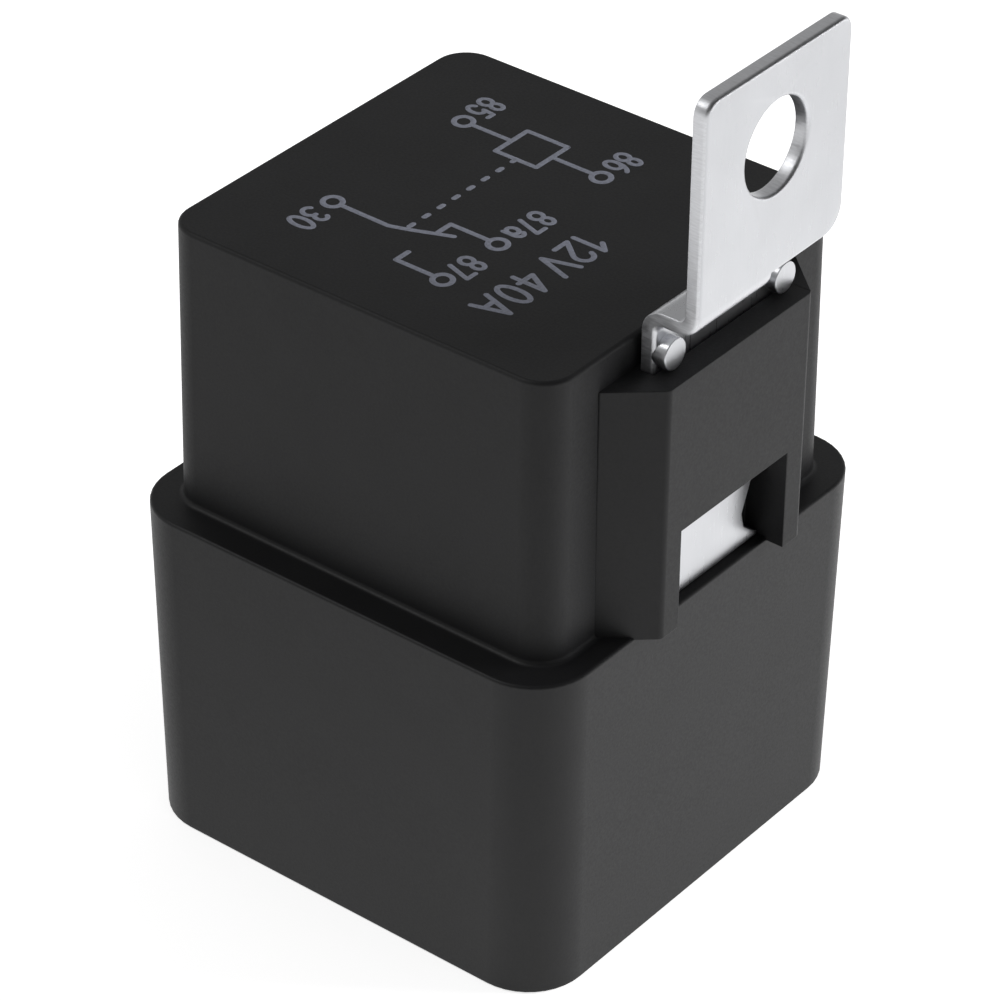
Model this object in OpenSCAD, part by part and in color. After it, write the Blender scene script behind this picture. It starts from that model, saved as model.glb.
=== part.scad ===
// Skirted automotive relay, five blades, changeover contact, clip-in steel bracket.
// Origin: centre of the skirt's rim. +Z points to the roof, +X to the bracket.

/* [Cover] */
// Width of the upper body along X, at the roof
body_x = 27.0; // [26.8:0.1:27.4]
// Width of the upper body along Y, at the roof
body_y = 26.1; // [25.8:0.1:26.6]
// Height of the roof above the rim
roof_z = 40.0; // [40:0.1:41]
// Height of the ledge where the skirt ends
ledge_z = 21.9; // [21.5:0.1:22.2]
// Width of the skirt just under the ledge
skirt_w = 30.6; // [30:0.1:31]
// Width of the skirt at its rim
rim_w = 30.0; // [29.8:0.1:30.6]
// Wall of the upper body
body_wall = 1.35; // [1.3:0.05:1.4]
// Corner radius of the skirt
skirt_r = 3.8; // [3:0.1:4]
// Corner radius of the upper body
body_r = 2.1; // [1.5:0.1:2.2]

/* [Bracket pocket] */
// How far the pocket's front face stands from the relay's axis
pocket_x = 16.4; // [16.2:0.1:16.8]
// Half width of the pocket's front face
pocket_half = 6.5; // [6.4:0.1:7]
// Top of the pocket
pocket_top = 37.9; // [37:0.1:38.4]
// Top of the window in the pocket's front wall
window_top = 28.1; // [27:0.1:29]
// Width of that window
window_w = 9.8; // [9.6:0.1:10.4]

/* [Bracket] */
// Thickness of the bracket sheet
sheet_t = 0.9; // [0.8:0.05:0.95]
// Width of the fixing tab
tab_w = 12.95; // [12:0.05:13.5]
// Height of the tab's top edge above the rim
tab_top = 55.2; // [54:0.1:56]
// Diameter of the screw hole
hole_d = 5.6; // [5:0.1:6.4]
// Height of the screw hole above the rim
hole_z = 49.9; // [49:0.1:50]
// Outer radius of the two bends
bend_r = 1.4; // [1.3:0.1:1.5]

/* [Terminals] */
// Width of a blade
blade_w = 6.3; // [6.2:0.1:6.4]
// Thickness of a blade
blade_t = 0.8; // [0.7:0.05:0.85]
// Height of the blade tips above the rim
tip_z = 2.4; // [1:0.1:4]
// Distance from the axis to the switched blades
row_x = 8.4; // [8.3:0.1:8.5]
// Distance from the axis to the coil blades
coil_row_y = 8.5; // [8.4:0.1:8.6]

/* [Switch] */
// Angle through which the armature tilts
armature_tilt = 3.1; // [2.8:0.1:3.2]
// Diameter of the coil's core
core_d = 6.5; // [6:0.1:6.8]
// Turns of the return spring
spring_turns = 19; // [16:1:20]

/* [Hidden] */
$fn = 48;
slab = 0.01;        // thickness of the slices that a hull joins
fit = 0.02;         // play of a round piece in its hole

// Cover
body_draft = 0.26;  // growth of the body's width from roof to ledge
edge_r = 0.25;      // rounding of the roof's edge
lip_r = 0.2;        // rounding of the skirt's upper edge
foot = 0.25;        // fillet between body and ledge
ledge_t = 1.6;
skirt_inner = 26.9; // width inside the skirt
skirt_inner_r = 2.2;
cavity_x = body_x - 2 * body_wall;
cavity_y = body_y - 2 * body_wall;
cavity_top = roof_z - 1.4;
cavity_r = 1.2;
rib_w = 1.2;
rib_reach = 1.25;   // how far a rib stands out of the skirt's wall
rib_place = 8;      // distance of the ribs from the middle of their side

// Base
base_w = 26.6;
base_z = 14.2;      // underside of the base
base_t = 3.0;
base_top = base_z + base_t;
seal_t = 1.0;
collar = 0.9;       // wall of the collars round the blades
wall_h = 1.4;
centre_x = 0.4;     // place of the centre blade
coil_blade_x = -0.4;

// Bracket: the leg stands in the pocket, the tab stands outside it
leg_x = 14.7;       // outer face of the leg
leg_y0 = -5.6;
leg_y1 = 6.2;
tongue_z = 22.0;    // lower end of the leg
flange_top = 41.8;
tab_x = 17.5;       // outer face of the tab
tab_y0 = -5.6;
neck_y1 = 1.0;      // the neck between leg and tab ends here
tab_corner = 1.0;
free_corner = 1.6;  // lower corner of the tab, beyond the neck
pip_d = 1.9;
pip_h = 0.7;
pip_z = 38.95;
pip_place = 5;      // distance of the pips from the leg's middle
leg_mid = (leg_y0 + leg_y1) / 2;
tab_mid = tab_y0 + tab_w / 2;

// Pocket
slot_x0 = leg_x - sheet_t - 0.05;
slot_x1 = leg_x + 0.05;
slot_step_z = 30;   // the slot is narrower below this height
slot_half = 4.6;    // half width of the slot's lower part
pocket_root = 8.9;  // half width where the pocket meets the body
pocket_r = 0.5;

// Magnet: the yoke's foot lies on the base
iron_t = 1.6;
yoke_x0 = -9.6;     // rear face of the yoke's leg
yoke_half = 6.5;
yoke_top = 32.7;
prong_h = 1.3;
prong_w = 1.2;
tenon_x = 1.2;      // place of the blade's tenon, from the blade's middle
tenon_w = 1.6;
coil_x = -0.5;      // the coil's axis
foot_x1 = coil_x + 4.5;
foot_top = base_top + iron_t;
pole_d = 10.5;
pole_t = 1.0;
flange_half = 7.2;
flange_r = 1.5;
bobbin_t = 0.9;
bobbin_top = yoke_top - pole_t;
stem_d = core_d - 1.4;
tube_d = core_d + 1.7;
winding_r = 6.5;
winding_z = foot_top + bobbin_t;
winding_h = bobbin_top - foot_top - 2 * bobbin_t;
tape_t = 0.2;
tape_z = 1.6;       // the tape starts this far up the winding

// Armature, drawn closed and tilted to its rest
arm_t = 1.5;
arm_gap = 0.02;
arm_z = yoke_top + arm_gap;
arm_x1 = 6.4;
leaf_t = 0.3;
leaf_z = arm_z + arm_t;
contact_x = 9.5;
contact_d = 4.0;
make_head = 0.9;    // the moving contact's lower head
break_head = 0.7;   // and its upper head
break_d = 3.6;
shank_d = 1.8;
upset_d = 2.8;      // closed heads of the contacts and rivets
strip_t = 0.8;
contact_gap = 0.05;
make_top = leaf_z - make_head - contact_gap;
make_pad = 1.05;
lift = (contact_x - yoke_x0) * sin(armature_tilt);
head_lift = contact_d / 2 * sin(armature_tilt);
break_bottom = leaf_z + leaf_t + break_head + lift + head_lift + contact_gap;
break_pad = 0.7;
break_x = contact_x - 0.3;
link_z = 15.4;
link_w = 2.8;
strip_half = 2.5;   // half width of the make strip
post_x0 = 7.8;
post_x1 = 10.8;
post_y1 = 7.4;
arm_y0 = -2.2;
riser_x = 7.0;      // inner face of the make strip beside the bobbin
strip_bend = 1.0;
arm_top = break_bottom + break_pad + strip_t;
rivet_d = 1.6;
rivet_x = -3.2;
rivet_y = 2.2;
leaf_tip_r = 2.3;

// Return spring behind the yoke
wire_r = 0.15;
coil_r = 0.95;
spring_x = yoke_x0 - 1.3;
spring_top = 31.2;
spring_pitch = 0.36;
spring_low = spring_top - spring_turns * spring_pitch;
loop_r = 0.9;
upper_loop_z = 33.56;
lug_z = 21.4;
lug_t = 1.2;
lower_loop_z = lug_z + 0.55;
neck_half = 0.4;    // half width of the necks that the loops sit on
neck_half_len = 0.35;

// Coil pins and leads
pin_x = 1.0;
pin_w = 0.75;
pin_top = 23.5;
tongue_top = 21.0;  // tongues of the coil blades, soldered to the pins
lead_r = 0.12;

// The braid runs from the yoke's flank to the leaf
braid_r = 0.7;
braid_route = [[-8.8, 7.3, 27], [-8.8, 7.3, 29], [-8.7, 7.4, 31], [-8.2, 7.6, 33],
               [-7, 7.4, 34.8], [-5.4, 6.6, 36], [-3.6, 5.2, 36.7], [-1.8, 3.6, 36.8],
               [-0.2, 2.4, 36.5], [1.2, 1.6, 36.1], [2.6, 1.2, 35.93], [4, 1.2, 36.0]];

// ---------- helpers ----------

module rounded_rect(w, d, r) {
    square([w - 2 * r, d], center = true);
    square([w, d - 2 * r], center = true);
    for (sx = [-1, 1], sy = [-1, 1])
        translate([sx * (w / 2 - r), sy * (d / 2 - r)]) circle(r);
}

// A rounded slab, at height z, that a hull joins to others
module slice(w, d, r, z) {
    translate([0, 0, z]) linear_extrude(slab) rounded_rect(w, d, r, $fn = 32);
}

// A block that tapers from low to high and has its upper edge rounded
module drafted_block(low, high, r, z0, z1, edge) {
    hull() {
        slice(low[0], low[1], r, z0);
        for (a = [0 : 30 : 90]) {
            inset = edge * (1 - cos(a));
            slice(high[0] - 2 * inset, high[1] - 2 * inset, r - inset / 2,
                  z1 - edge + edge * sin(a) - slab);
        }
    }
}

// Extrudes a profile drawn in XZ along Y, from y0 to y1
module along_y(y0, y1) {
    translate([0, y1, 0]) rotate([90, 0, 0]) linear_extrude(y1 - y0) children();
}

// Extrudes an outline drawn in YZ along X, from x0 to x1
module along_x(x0, x1) {
    translate([x0, 0, 0]) rotate([90, 0, 90]) linear_extrude(x1 - x0) children();
}

module span(x0, x1, y0, y1, z0, z1) {
    translate([x0, y0, z0]) cube([x1 - x0, y1 - y0, z1 - z0]);
}

// Tilts what rides on the armature from the closed place to its rest
module at_rest() {
    translate([yoke_x0, 0, yoke_top]) rotate([0, -armature_tilt, 0])
        translate([-yoke_x0, 0, -yoke_top]) children();
}

function unit(v) = v / norm(v);
function heading(p, i) = unit(p[min(i + 1, len(p) - 1)] - p[max(i - 1, 0)]);
function flanks(p, i, n) =
    i == len(p) ? [] :
    let (t = heading(p, i), s = unit(n - (n * t) * t)) concat([s], flanks(p, i + 1, s));

// A round wire along the points of p
module wire(p, r, sides) {
    s = flanks(p, 0, [0.35, 0.25, 0.9]);
    rings = len(p);
    points = [for (i = [0 : rings - 1], k = [0 : sides - 1])
        let (a = 360 * k / sides) p[i] + r * (cos(a) * s[i] + sin(a) * cross(heading(p, i), s[i]))];
    skin = [for (i = [0 : rings - 2], k = [0 : sides - 1])
        let (a = i * sides + k, b = i * sides + (k + 1) % sides)
            each [[a, a + sides, b], [b, a + sides, b + sides]]];
    first_cap = [for (k = [0 : sides - 1]) k];
    last_cap = [for (k = [sides - 1 : -1 : 0]) (rings - 1) * sides + k];
    polyhedron(points, concat(skin, [first_cap, last_cap]), convexity = 10);
}

// ---------- cover ----------

module pocket_outline() {
    hull() {
        for (x = [body_x / 2 - 0.5, body_x / 2 + 0.1])
            translate([x, -pocket_root]) square([slab, 2 * pocket_root]);
        for (s = [-1, 1])
            translate([pocket_x - pocket_r, s * (pocket_half - 0.6 * pocket_r)])
                circle(pocket_r, $fn = 32);
    }
}

module bracket_slot() {
    span(slot_x0, slot_x1, leg_y0 - 0.1, leg_y1 + 0.1, slot_step_z, pocket_top + 1);
    span(slot_x0, slot_x1, leg_mid - slot_half, leg_mid + slot_half, ledge_z, slot_step_z + 1);
    span(leg_x - 0.1, pocket_x + 1, -window_w / 2, window_w / 2, ledge_z, window_top);
    // the window runs down past the lip, in front of the skirt
    span(skirt_w / 2, pocket_x + 1, -window_w / 2, window_w / 2, ledge_z - 1, ledge_z + 1);
}

module locating_ribs() {
    inner = skirt_inner / 2;
    for (turn = [0 : 90 : 270], s = [-1, 1])
        rotate([0, 0, turn]) translate([inner - rib_reach, s * rib_place - rib_w / 2, base_top])
            cube([rib_reach + 0.15, rib_w, ledge_z - ledge_t - base_top + 0.1]);
}

module cover() {
    color([0.16, 0.16, 0.17]) {
        difference() {
            union() {
                drafted_block([rim_w, rim_w], [skirt_w, skirt_w], skirt_r, 0, ledge_z, lip_r);
                drafted_block([body_x + body_draft, body_y + body_draft], [body_x, body_y],
                              body_r, ledge_z - 1, roof_z, edge_r);
                hull() {
                    slice(body_x + body_draft + 2 * foot, body_y + body_draft + 2 * foot,
                          body_r + foot, ledge_z - slab);
                    slice(body_x + body_draft, body_y + body_draft, body_r, ledge_z + foot);
                }
                translate([0, 0, ledge_z - lip_r]) linear_extrude(pocket_top - ledge_z + lip_r)
                    pocket_outline();
            }
            translate([0, 0, -1]) linear_extrude(ledge_z - ledge_t + 1)
                rounded_rect(skirt_inner, skirt_inner, skirt_inner_r);
            linear_extrude(cavity_top) rounded_rect(cavity_x, cavity_y, cavity_r);
            bracket_slot();
        }
        locating_ribs();
    }
}

// ---------- bracket ----------

module bent_profile() {
    inner = bend_r - sheet_t;
    rear = leg_x - sheet_t;
    // rear bend, from the leg up into the flange
    translate([rear + bend_r, flange_top - bend_r]) intersection() {
        difference() {
            circle(bend_r);
            circle(inner);
        }
        translate([-bend_r, 0]) square(bend_r);
    }
    translate([rear + bend_r, flange_top - sheet_t])
        square([tab_x - rear - 2 * bend_r, sheet_t]);
    // front bend, from the flange up into the tab
    translate([tab_x - bend_r, flange_top - sheet_t + bend_r]) intersection() {
        difference() {
            circle(bend_r);
            circle(inner);
        }
        translate([0, -bend_r]) square(bend_r);
    }
}

module tab_outline() {
    foot_z = flange_top - sheet_t + bend_r;   // the tab rises from the neck's bend here
    free_z = foot_z - 0.2;                    // its free lower edge
    tab_y1 = tab_y0 + tab_w;
    difference() {
        union() {
            translate([tab_y0, foot_z]) square([neck_y1 - tab_y0, free_corner]);
            translate([neck_y1, free_z]) square([tab_y1 - free_corner - neck_y1, free_corner]);
            translate([tab_y1 - free_corner, free_z + free_corner]) circle(free_corner);
            translate([tab_y0, free_z + free_corner])
                square([tab_w, tab_top - tab_corner - free_z - free_corner]);
            translate([tab_y0 + tab_corner, tab_top - 2 * tab_corner])
                square([tab_w - 2 * tab_corner, 2 * tab_corner]);
            for (y = [tab_y0 + tab_corner, tab_y1 - tab_corner])
                translate([y, tab_top - tab_corner]) circle(tab_corner);
        }
        translate([tab_mid, hole_z]) circle(hole_d / 2);
    }
}

// Half of the tongue, with the barb that grips the slot's side
module half_tongue(top) {
    wide = 3.7;
    barb = 4.45;
    polygon([[0, top], [wide, top], [wide, 26.2], [barb - 1.55, 24.2],
             [barb - 1.3, 23.2], [barb, 22.2], [barb, tongue_z], [0, tongue_z]]);
}

module leg_outline() {
    shoulder_z = slot_step_z + 0.5;
    top = flange_top - bend_r;
    translate([leg_y0, shoulder_z]) square([leg_y1 - leg_y0, top - shoulder_z - 0.3]);
    translate([leg_y0, top - 1]) square([neck_y1 - leg_y0, 1]);
    for (side = [0, 1])
        translate([leg_mid, 0]) mirror([side, 0]) half_tongue(shoulder_z + 0.1);
}

module bracket() {
    color([0.86, 0.87, 0.88]) {
        along_x(tab_x - sheet_t, tab_x) tab_outline();
        along_y(leg_y0, neck_y1) bent_profile();
        along_x(leg_x - sheet_t, leg_x) leg_outline();
        for (y = [-pip_place, pip_place])
            translate([leg_x - 0.3, leg_mid + y, pip_z]) rotate([0, 90, 0])
                cylinder(d = pip_d, h = pip_h + 0.3);
    }
}

// ---------- base and seal ----------

// Plan of every blade where it passes the base
module blade_plan(grow) {
    for (p = [[row_x, 0, 90], [centre_x, 0, 90], [-row_x, 0, 0],
              [coil_blade_x, coil_row_y, 0], [coil_blade_x, -coil_row_y, 0]])
        translate([p[0], p[1]]) rotate(p[2])
            square([blade_w + 2 * grow, blade_t + 2 * grow], center = true);
}

module base() {
    color([0.2, 0.2, 0.21]) difference() {
        union() {
            translate([0, 0, base_z]) linear_extrude(base_t)
                rounded_rect(base_w, base_w, skirt_inner_r);
            translate([0, 0, base_z - seal_t]) linear_extrude(seal_t) blade_plan(collar);
            // low walls that keep the parts on the base in place
            span(foot_x1 + 1.2, foot_x1 + 2.2, -4.2, 4.2, base_top, base_top + wall_h);
            for (s = [-1, 1])
                translate([-11.6, s * 9.6 - 0.5, base_top]) cube([5, 1, wall_h + 1]);
        }
        translate([0, 0, base_z - seal_t - 1]) linear_extrude(base_t + seal_t + 2) blade_plan(0);
        // channel of the break strip's link
        translate([0, 0, link_z]) linear_extrude(strip_t) link_plan();
        span(post_x0, post_x1, post_y1 - strip_t, post_y1, link_z, base_top + 1);
        // pockets under the coil pins
        for (s = [-1, 1])
            span(pin_x - 0.5, pin_x + 0.4, s * coil_row_y - 0.45, s * coil_row_y + 0.45,
                 base_top - 0.6, base_top + 1);
    }
}

module epoxy_seal() {
    color([0.1, 0.1, 0.11]) translate([0, 0, base_z - seal_t]) difference() {
        linear_extrude(seal_t) rounded_rect(skirt_inner, skirt_inner, skirt_inner_r);
        translate([0, 0, -1]) linear_extrude(seal_t + 2) blade_plan(collar);
    }
}

// ---------- terminals ----------

// A blade drawn in its own plane: centred on 0, tip down, up to top
module blade_outline(top) {
    tip = 1.2;
    half = blade_w / 2;
    polygon([[-half, top], [-half, tip_z + tip], [-half + tip, tip_z],
             [half - tip, tip_z], [half, tip_z + tip], [half, top]]);
}

module terminal_30() {
    color([0.80, 0.66, 0.42])
        translate([-row_x, blade_t / 2, 0]) rotate([90, 0, 0]) linear_extrude(blade_t) {
            blade_outline(base_top);
            translate([tenon_x, base_top - 1]) square([tenon_w, iron_t + 1]);
        }
}

module coil_blade() {
    color([0.80, 0.66, 0.42])
        translate([coil_blade_x, blade_t / 2, 0]) rotate([90, 0, 0]) linear_extrude(blade_t) {
            blade_outline(base_top - 1);
            translate([pin_x + pin_w / 2 - coil_blade_x, base_top - 2])
                square([1.3, tongue_top - base_top + 2]);
        }
}

module terminal_85() {
    translate([0, coil_row_y, 0]) coil_blade();
}

module terminal_86() {
    translate([0, -coil_row_y, 0]) coil_blade();
}

module terminal_87() {
    color([0.80, 0.66, 0.42])
        along_x(row_x - blade_t / 2, row_x + blade_t / 2) blade_outline(base_top);
}

module terminal_87a() {
    color([0.80, 0.66, 0.42])
        along_x(centre_x - blade_t / 2, centre_x + blade_t / 2) blade_outline(link_z);
}

// ---------- contact strips ----------

// Section of a right-angled bend: the middle of its arc lies at the origin
module bend_section(r) {
    intersection() {
        difference() {
            circle(r);
            circle(r - strip_t);
        }
        square(r);
    }
}

// The make strip stands on its blade, passes the bobbin and turns outwards under the contact
module make_strip() {
    seat = make_top - make_pad;
    foot_x = row_x - strip_t / 2;
    x1 = contact_x + 2;
    color([0.85, 0.52, 0.32]) difference() {
        along_y(-strip_half, strip_half) {
            polygon([[foot_x, base_top], [foot_x + strip_t, base_top], [foot_x + strip_t, base_top + 1],
                     [riser_x + strip_t, base_top + 2.6], [riser_x + strip_t, seat - strip_bend],
                     [riser_x, seat - strip_bend], [riser_x, base_top + 2.4], [foot_x, base_top + 0.8]]);
            translate([riser_x + strip_bend, seat - strip_bend]) mirror([1, 0]) bend_section(strip_bend);
            translate([riser_x + strip_bend, seat - strip_t])
                square([x1 - riser_x - strip_bend, strip_t]);
        }
        translate([contact_x, 0, seat - strip_t - 1]) cylinder(d = shank_d + 2 * fit, h = 3);
    }
}

// Plan of the break strip's link, buried in the base
module link_plan() {
    x0 = centre_x - blade_t / 2;
    translate([x0, -blade_w / 2]) square([link_w, post_y1 + blade_w / 2]);
    translate([x0, post_y1 - link_w]) square([post_x1 - x0, link_w]);
}

// The break strip rises beside the contacts and reaches over them
module break_strip() {
    color([0.85, 0.52, 0.32]) difference() {
        union() {
            translate([0, 0, link_z]) linear_extrude(strip_t) link_plan();
            along_x(post_x0, post_x1) {
                translate([post_y1 - strip_t, link_z]) square([strip_t, arm_top - strip_bend - link_z]);
                translate([post_y1 - strip_bend, arm_top - strip_bend]) bend_section(strip_bend);
                translate([arm_y0, arm_top - strip_t]) square([post_y1 - strip_bend - arm_y0, strip_t]);
            }
        }
        translate([break_x, 0, arm_top - strip_t - 1]) cylinder(d = shank_d + 2 * fit, h = 3);
    }
}

module make_contact() {
    seat = make_top - make_pad;
    color([0.78, 0.78, 0.76]) translate([contact_x, 0, 0]) {
        translate([0, 0, seat]) cylinder(d = contact_d, h = make_pad);
        translate([0, 0, seat - strip_t - 0.2]) cylinder(d = shank_d, h = strip_t + 0.4);
        translate([0, 0, seat - strip_t - 0.5]) cylinder(d = 2.6, h = 0.5);
    }
}

module break_contact() {
    color([0.78, 0.78, 0.76]) translate([break_x, 0, 0]) {
        translate([0, 0, break_bottom]) cylinder(d = break_d, h = break_pad);
        translate([0, 0, break_bottom + 0.1]) cylinder(d = shank_d, h = break_pad + strip_t);
        translate([0, 0, arm_top]) cylinder(d = upset_d, h = 0.4);
    }
}

// ---------- magnet ----------

module yoke() {
    color([0.72, 0.72, 0.70]) difference() {
        union() {
            span(yoke_x0, foot_x1, -yoke_half, yoke_half, base_top, foot_top);
            span(yoke_x0, yoke_x0 + iron_t, -yoke_half, yoke_half, base_top, yoke_top);
            for (s = [-1, 1])
                span(yoke_x0, yoke_x0 + iron_t, s > 0 ? yoke_half - prong_w : -yoke_half,
                     s > 0 ? yoke_half : -yoke_half + prong_w, yoke_top - 1, yoke_top + prong_h);
            // lug that the return spring hooks under
            span(spring_x - 1.0, yoke_x0 + 0.1, -1.6, 1.6, lug_z, lug_z + lug_t);
        }
        translate([coil_x, 0, base_top - 1]) cylinder(d = stem_d + 2 * fit, h = iron_t + 2);
        // slot of terminal 30's tenon
        span(-row_x + tenon_x, -row_x + tenon_x + tenon_w, -blade_t / 2, blade_t / 2,
             base_top - 1, foot_top + 1);
        // the lug is necked where the spring's loop sits
        for (s = [-1, 1])
            span(spring_x - neck_half_len, spring_x + neck_half_len,
                 s > 0 ? neck_half : -2, s > 0 ? 2 : -neck_half, lug_z - 1, lug_z + lug_t + 1);
    }
}

module core() {
    color([0.70, 0.70, 0.72]) translate([coil_x, 0, 0]) {
        translate([0, 0, base_top]) cylinder(d = stem_d, h = iron_t + 1);
        translate([0, 0, foot_top]) cylinder(d = core_d, h = bobbin_top - foot_top);
        translate([0, 0, bobbin_top]) cylinder(d = pole_d, h = pole_t - 0.2);
        translate([0, 0, yoke_top - 0.2]) cylinder(d1 = pole_d, d2 = pole_d - 0.4, h = 0.2);
    }
}

module bobbin_flange(z) {
    translate([coil_x, 0, z]) linear_extrude(bobbin_t)
        rounded_rect(2 * flange_half, 2 * flange_half, flange_r);
}

module bobbin() {
    color([0.90, 0.88, 0.80]) difference() {
        union() {
            bobbin_flange(foot_top);
            bobbin_flange(bobbin_top - bobbin_t);
            translate([coil_x, 0, foot_top]) cylinder(d = tube_d, h = bobbin_top - foot_top);
            // lugs that hold the coil pins
            for (s = [-1, 1])
                span(pin_x - 1.8, pin_x + pin_w / 2, s > 0 ? flange_half - 1 : -coil_row_y - 0.9,
                     s > 0 ? coil_row_y + 0.9 : -flange_half + 1, foot_top, foot_top + bobbin_t);
        }
        translate([coil_x, 0, foot_top - 1])
            cylinder(d = core_d + 2 * fit, h = bobbin_top - foot_top + 2);
        for (s = [-1, 1])
            translate([pin_x, s * coil_row_y, foot_top])
                cube([pin_w, pin_w, 3], center = true);
    }
}

module coil_winding() {
    color([0.76, 0.40, 0.20]) translate([coil_x, 0, winding_z]) difference() {
        cylinder(r = winding_r, h = winding_h);
        translate([0, 0, -1]) cylinder(d = tube_d + 2 * fit, h = winding_h + 2);
    }
}

module coil_tape() {
    color([0.86, 0.72, 0.20]) translate([coil_x, 0, winding_z + tape_z]) difference() {
        cylinder(r = winding_r + fit + tape_t, h = winding_h - tape_z);
        translate([0, 0, -1]) cylinder(r = winding_r + fit, h = winding_h + 2);
    }
}

module coil_pin(s) {
    color([0.78, 0.76, 0.70])
        translate([pin_x - pin_w / 2, s * coil_row_y - pin_w / 2, base_top - 0.5])
            cube([pin_w, pin_w, pin_top - base_top + 0.5]);
}

module coil_pin_85() {
    coil_pin(1);
}

module coil_pin_86() {
    coil_pin(-1);
}

// The wire leaves the winding and is wound round its pin
module coil_lead(s) {
    wrap_r = pin_w / 2 * sqrt(2) + lead_r + 0.02;
    turns = 3;
    route = concat(
        [[coil_x + 0.6, s * (winding_r + lead_r + 0.03), winding_z + 0.7],
         [pin_x - 1.2, s * (winding_r + 0.5), winding_z + 1.0]],
        [for (a = [200 : 20 : 200 + 360 * turns])
            [pin_x + wrap_r * cos(a), s * (coil_row_y + wrap_r * sin(a)),
             tongue_top + 0.5 + 0.3 * (a - 200) / 360]]);
    color([0.80, 0.38, 0.18]) wire(route, lead_r, 6);
}

module coil_lead_85() {
    coil_lead(1);
}

module coil_lead_86() {
    coil_lead(-1);
}

// ---------- armature ----------

module armature_plan() {
    tail = yoke_x0 - 2.1;
    translate([yoke_x0 + iron_t + 0.3, -yoke_half])
        square([arm_x1 - yoke_x0 - iron_t - 0.3, 2 * yoke_half]);
    translate([yoke_x0 - 0.4, -5.1]) square([iron_t + 1, 10.2]);
    translate([tail, -1.6]) square([2.6, 3.2]);
}

module armature() {
    color([0.70, 0.70, 0.69]) at_rest() difference() {
        translate([0, 0, arm_z]) linear_extrude(arm_t) armature_plan();
        // neck for the spring's loop
        for (s = [-1, 1])
            span(spring_x - neck_half_len, spring_x + neck_half_len,
                 s > 0 ? neck_half : -3, s > 0 ? 3 : -neck_half, arm_z - 1, arm_z + arm_t + 1);
        for (y = [-rivet_y, rivet_y])
            translate([rivet_x, y, arm_z - 1]) cylinder(d = rivet_d + 2 * fit, h = arm_t + 2);
    }
}

module leaf_plan() {
    translate([-5.6, -4.4]) square([7, 8.8]);
    translate([1.3, -leaf_tip_r]) square([contact_x - 1.3, 2 * leaf_tip_r]);
    translate([contact_x, 0]) circle(leaf_tip_r);
}

module contact_leaf() {
    color([0.84, 0.56, 0.34]) at_rest() difference() {
        translate([0, 0, leaf_z]) linear_extrude(leaf_t) leaf_plan();
        translate([contact_x, 0, leaf_z - 1]) cylinder(d = shank_d + 2 * fit, h = 3);
        for (y = [-rivet_y, rivet_y])
            translate([rivet_x, y, leaf_z - 1]) cylinder(d = rivet_d + 2 * fit, h = 3);
    }
}

module moving_contact() {
    color([0.78, 0.78, 0.76]) at_rest() translate([contact_x, 0, 0]) {
        translate([0, 0, leaf_z - make_head]) cylinder(d = contact_d, h = make_head);
        translate([0, 0, leaf_z - 0.1]) cylinder(d = shank_d, h = leaf_t + 0.2);
        translate([0, 0, leaf_z + leaf_t]) cylinder(d = break_d, h = break_head);
    }
}

module leaf_rivets() {
    color([0.82, 0.68, 0.44]) at_rest()
        for (y = [-rivet_y, rivet_y]) translate([rivet_x, y, 0]) {
            translate([0, 0, arm_z + 0.1]) cylinder(d = rivet_d, h = arm_t + leaf_t);
            translate([0, 0, leaf_z + leaf_t]) cylinder(d = upset_d, h = 0.6);
        }
}

module return_spring() {
    coil = [for (a = [0 : 40 : 360 * spring_turns])
        [coil_r * sin(a), -coil_r * cos(a), spring_top - spring_pitch * a / 360]];
    upper = concat([[0, loop_r, upper_loop_z - 0.8]],
        [for (a = [0 : 20 : 180]) [0, loop_r * cos(a), upper_loop_z + loop_r * sin(a)]],
        [[0, -loop_r, spring_top + 1.2], [0, -loop_r - 0.02, spring_top + 0.5],
         [0.02, -coil_r, spring_top + 0.15]]);
    lower = concat([[0.02, -coil_r, spring_low - 0.15], [0, -loop_r - 0.02, spring_low - 0.5]],
        [for (a = [0 : 20 : 180]) [0, -loop_r * cos(a), lower_loop_z - loop_r * sin(a)]],
        [[0, loop_r, lower_loop_z + 0.8]]);
    color([0.75, 0.75, 0.76]) translate([spring_x, 0, 0])
        wire(concat(upper, coil, lower), wire_r, 6);
}

module flexible_braid() {
    color([0.80, 0.44, 0.24]) wire(braid_route, braid_r, 8);
}

cover();
bracket();
base();
epoxy_seal();
terminal_30();
terminal_85();
terminal_86();
terminal_87();
terminal_87a();
yoke();
core();
bobbin();
coil_winding();
coil_tape();
coil_pin_85();
coil_pin_86();
coil_lead_85();
coil_lead_86();
make_strip();
break_strip();
make_contact();
break_contact();
armature();
contact_leaf();
moving_contact();
leaf_rivets();
return_spring();
flexible_braid();
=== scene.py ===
"""Looks of a skirted automotive relay and its fixing bracket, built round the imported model."""

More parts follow.
